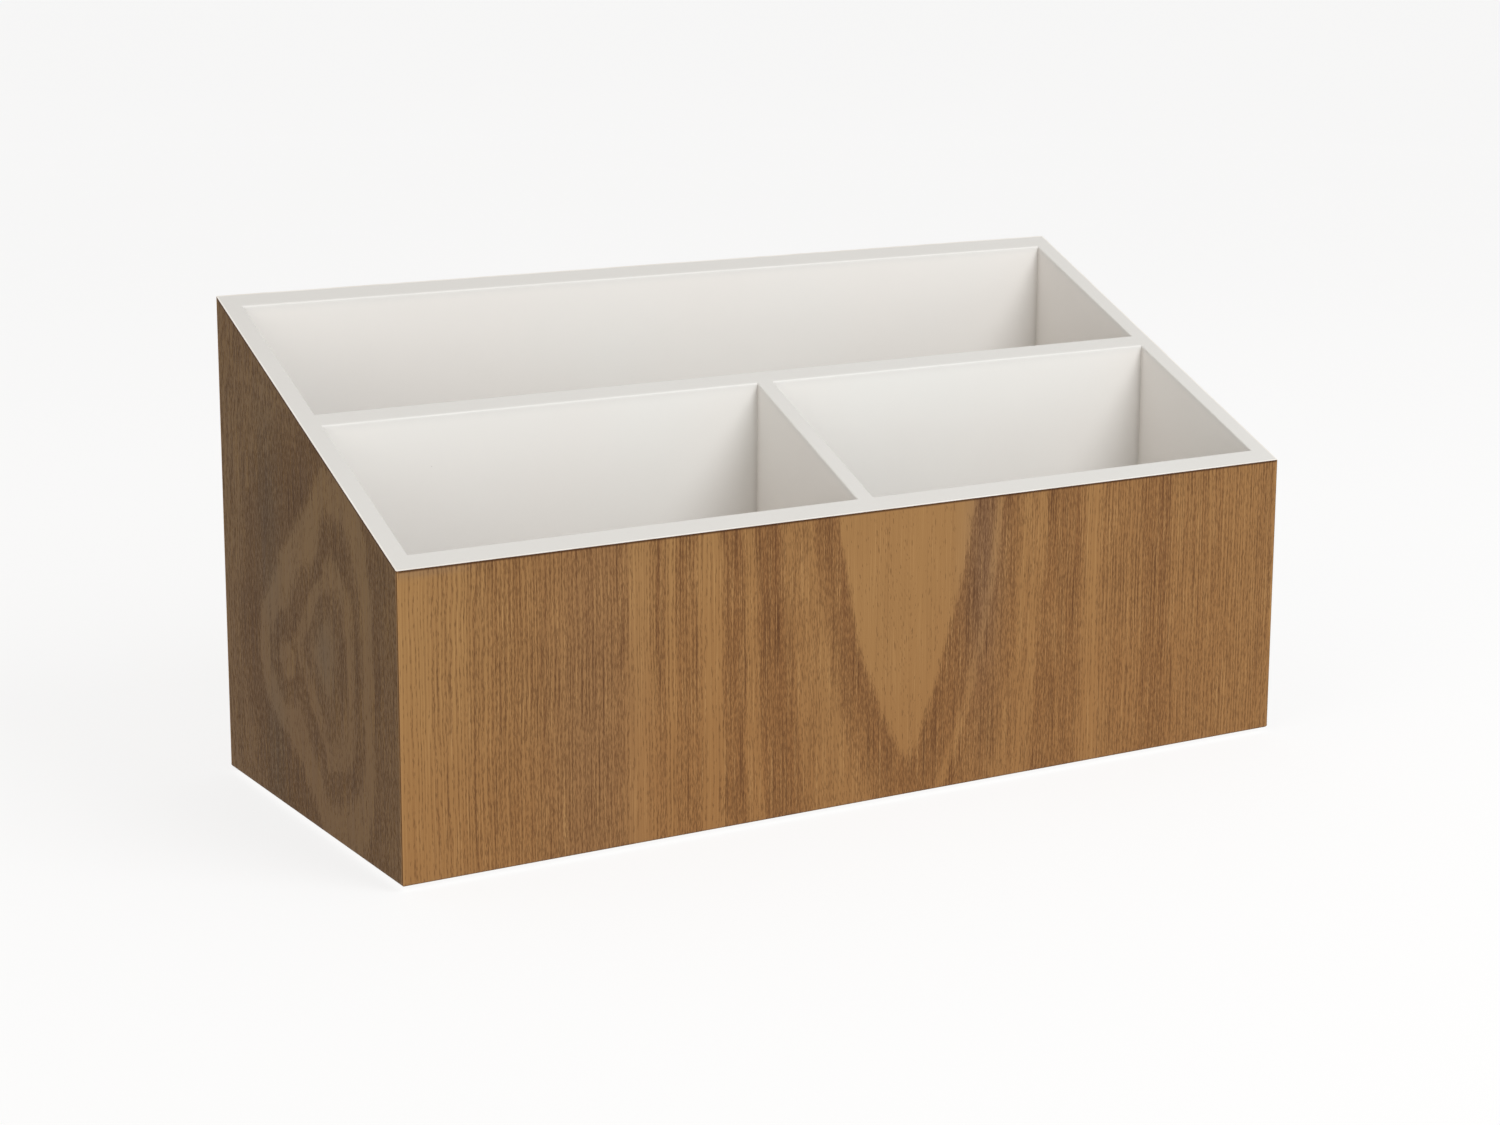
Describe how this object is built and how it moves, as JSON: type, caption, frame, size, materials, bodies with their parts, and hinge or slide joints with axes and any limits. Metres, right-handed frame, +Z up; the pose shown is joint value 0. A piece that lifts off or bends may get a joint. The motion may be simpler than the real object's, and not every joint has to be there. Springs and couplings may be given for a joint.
{
  "type": "desk organiser",
  "caption": "Desk organiser: a wood-veneered open box, lacquered inside, its top cut on a slope, with a full-width rear compartment and a divided front row.",
  "frame": {"origin": "on the desk under the middle of the box, at the height of the pads' lower faces", "axes": "+X to the right as seen from the low front wall, +Y from the low front wall to the high back wall, +Z up"},
  "size_m": [0.3, 0.126, 0.1455],
  "materials": {
    "lacquered_mdf": "MDF sprayed with white satin lacquer",
    "wood_veneer": "open-pored ash-like veneer, golden brown stain, matt oil",
    "felt": "pressed grey felt, self-adhesive"
  },
  "bodies": {
    "root": {"front_panel": "lacquered_mdf", "back_panel": "lacquered_mdf", "left_panel": "lacquered_mdf", "right_panel": "lacquered_mdf", "base_panel": "lacquered_mdf", "long_divider": "lacquered_mdf", "short_divider": "lacquered_mdf", "front_veneer": "wood_veneer", "back_veneer": "wood_veneer", "left_veneer": "wood_veneer", "right_veneer": "wood_veneer", "pad_front_left": "felt", "pad_front_right": "felt", "pad_back_left": "felt", "pad_back_right": "felt"}
  },
  "joints": []
}
